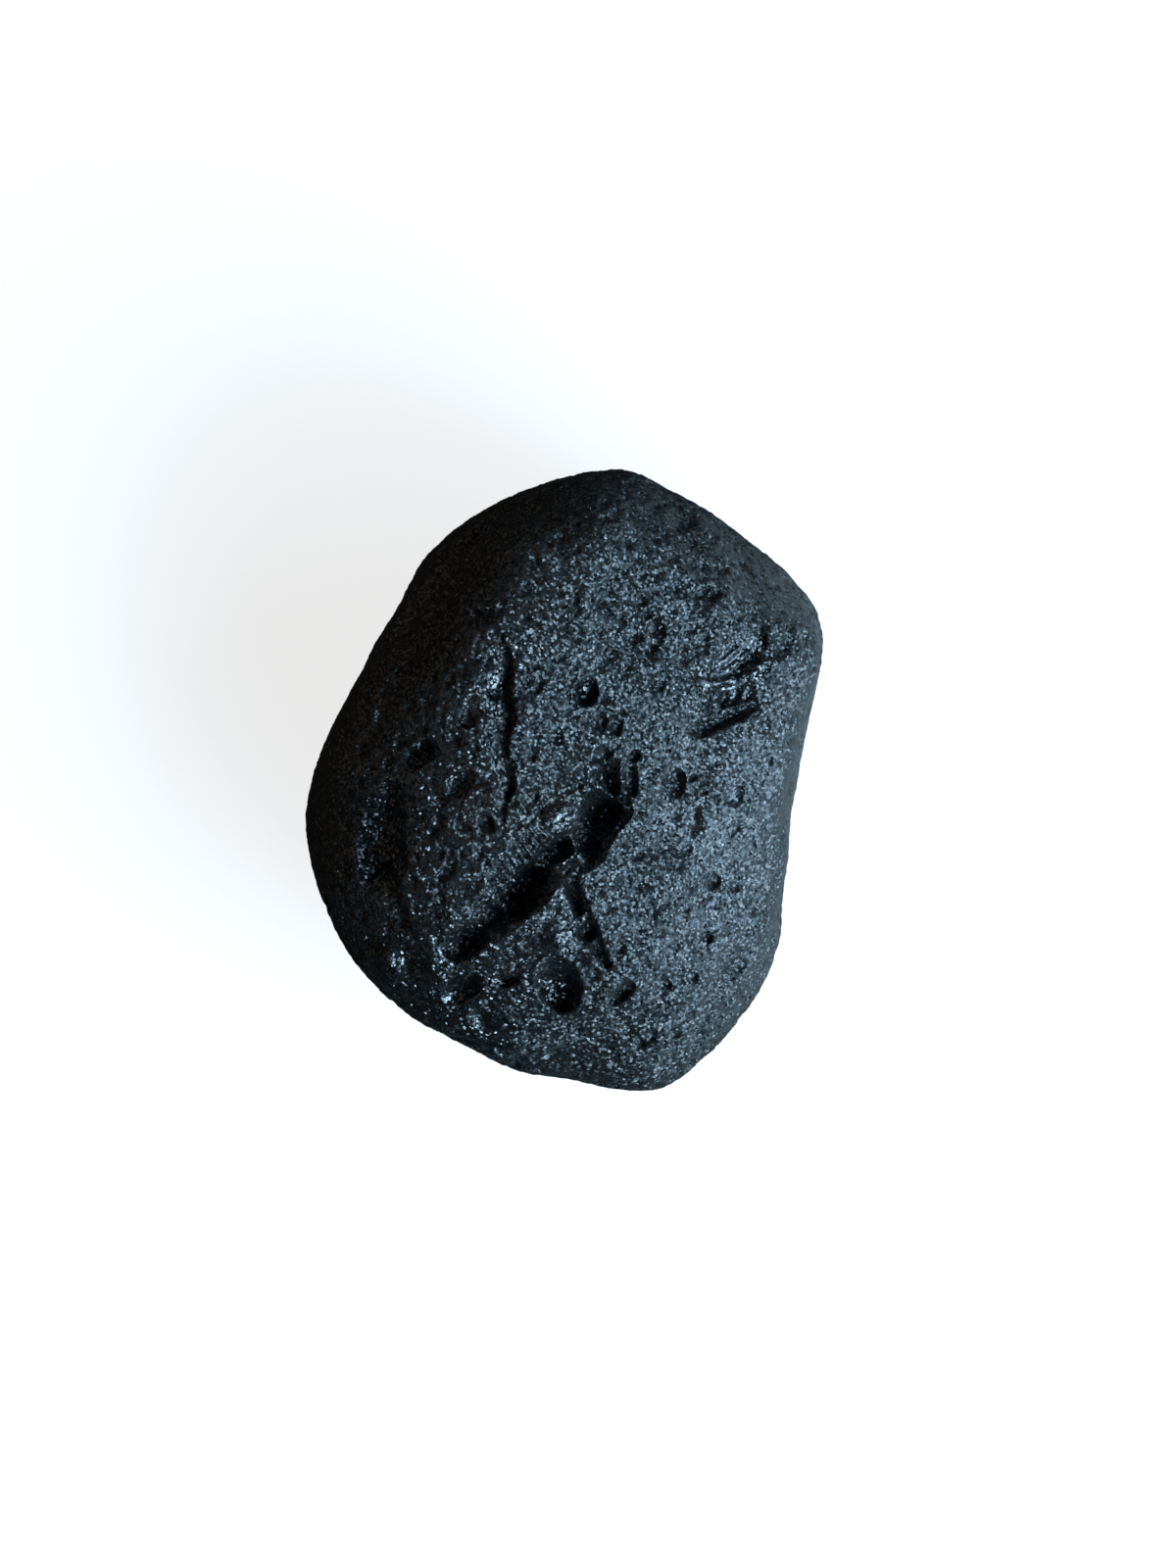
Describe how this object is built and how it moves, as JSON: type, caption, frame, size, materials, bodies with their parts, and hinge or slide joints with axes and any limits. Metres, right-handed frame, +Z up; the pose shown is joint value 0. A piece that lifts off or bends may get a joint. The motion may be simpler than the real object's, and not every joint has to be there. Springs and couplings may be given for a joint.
{
  "type": "tektite",
  "caption": "Natural tektite: a pitted, furrowed pebble of black glass with a broad sloping upper face, resting on a small worn flat.",
  "frame": {"origin": "on the surface that the stone rests on, under the middle of its box", "axes": "+Z up from the resting flat through the dome, +Y along the longest side towards the blunt end with the left-hand wall, +X towards the straight right-hand edge"},
  "size_m": [0.0376, 0.045, 0.025],
  "materials": {
    "tektite_glass": "satin"
  },
  "bodies": {
    "root": {"tektite": "tektite_glass"}
  },
  "joints": []
}
